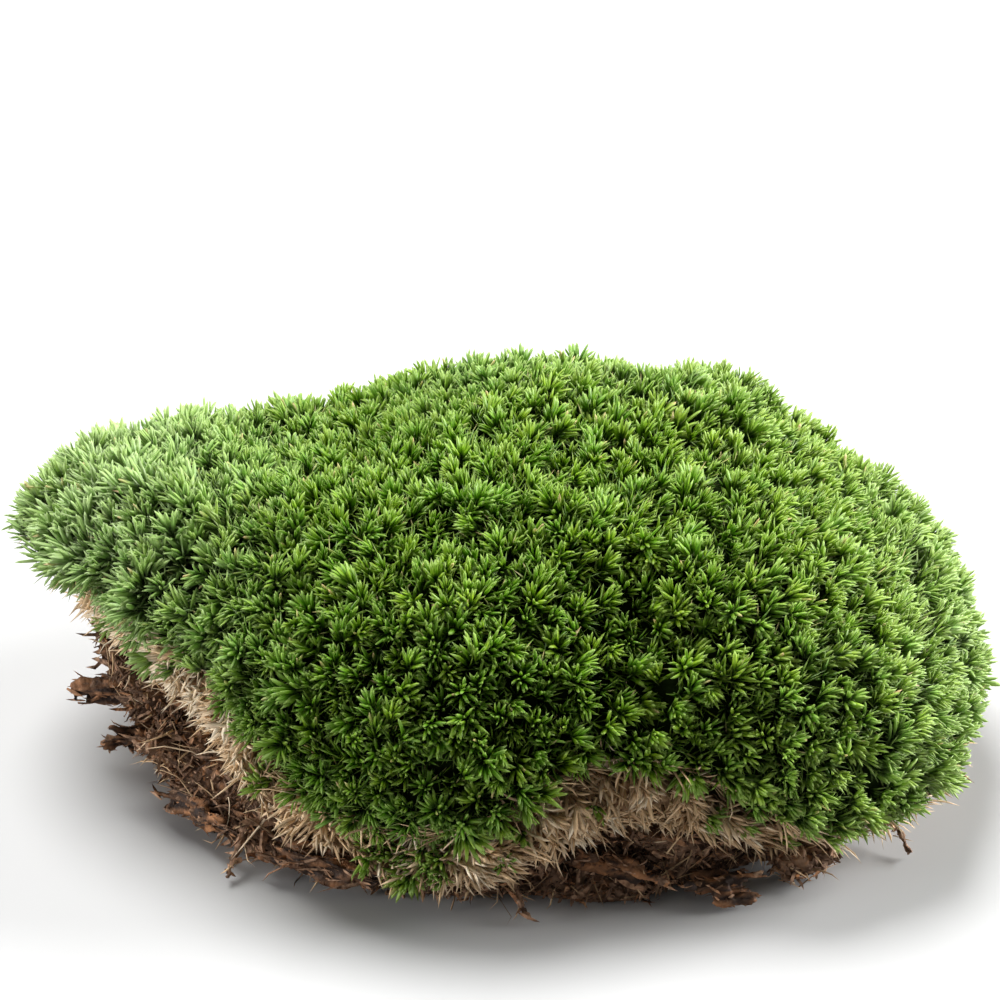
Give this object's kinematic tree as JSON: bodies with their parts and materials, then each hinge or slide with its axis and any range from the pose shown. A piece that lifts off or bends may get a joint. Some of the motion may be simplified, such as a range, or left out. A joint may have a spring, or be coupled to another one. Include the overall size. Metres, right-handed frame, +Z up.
{
  "type": "moss clump",
  "caption": "Lifted clump of green cushion moss on its own straw-coloured dead leaves and a pad of dark humus with bark flakes, clods and rootlets, flat underneath.",
  "frame": {"origin": "bottom centre of the clump's bounding box, in the plane of the flat cut that it rests on", "axes": "+X along the clump's long side, from the lifted left end to the hanging right end; +Y away from the viewer, towards the back; +Z up"},
  "size_m": [0.1688, 0.1254, 0.0618],
  "materials": {
    "living_leaves": "matte",
    "dead_leaves": "matte",
    "humus": "matte",
    "bark": "matte",
    "root": "matte"
  },
  "bodies": {
    "root": {"moss_cushion": "living_leaves", "dead_moss_layer": "dead_leaves", "humus_pad": "humus", "bark_splinter_left": "bark", "bark_plate_left": "bark", "bark_flake_lower_left": "bark", "bark_ridge_front_left": "bark", "bark_ridge_front": "bark", "bark_flake_front_right": "bark", "bark_flake_right": "bark", "bark_ridge_back": "bark", "bark_flake_back_left": "bark", "humus_clod_right": "humus", "humus_clod_left": "humus", "humus_clod_back": "humus", "rootlet_lower_left": "root", "rootlet_front": "root", "rootlet_right": "root", "rootlet_back": "root"}
  },
  "joints": []
}
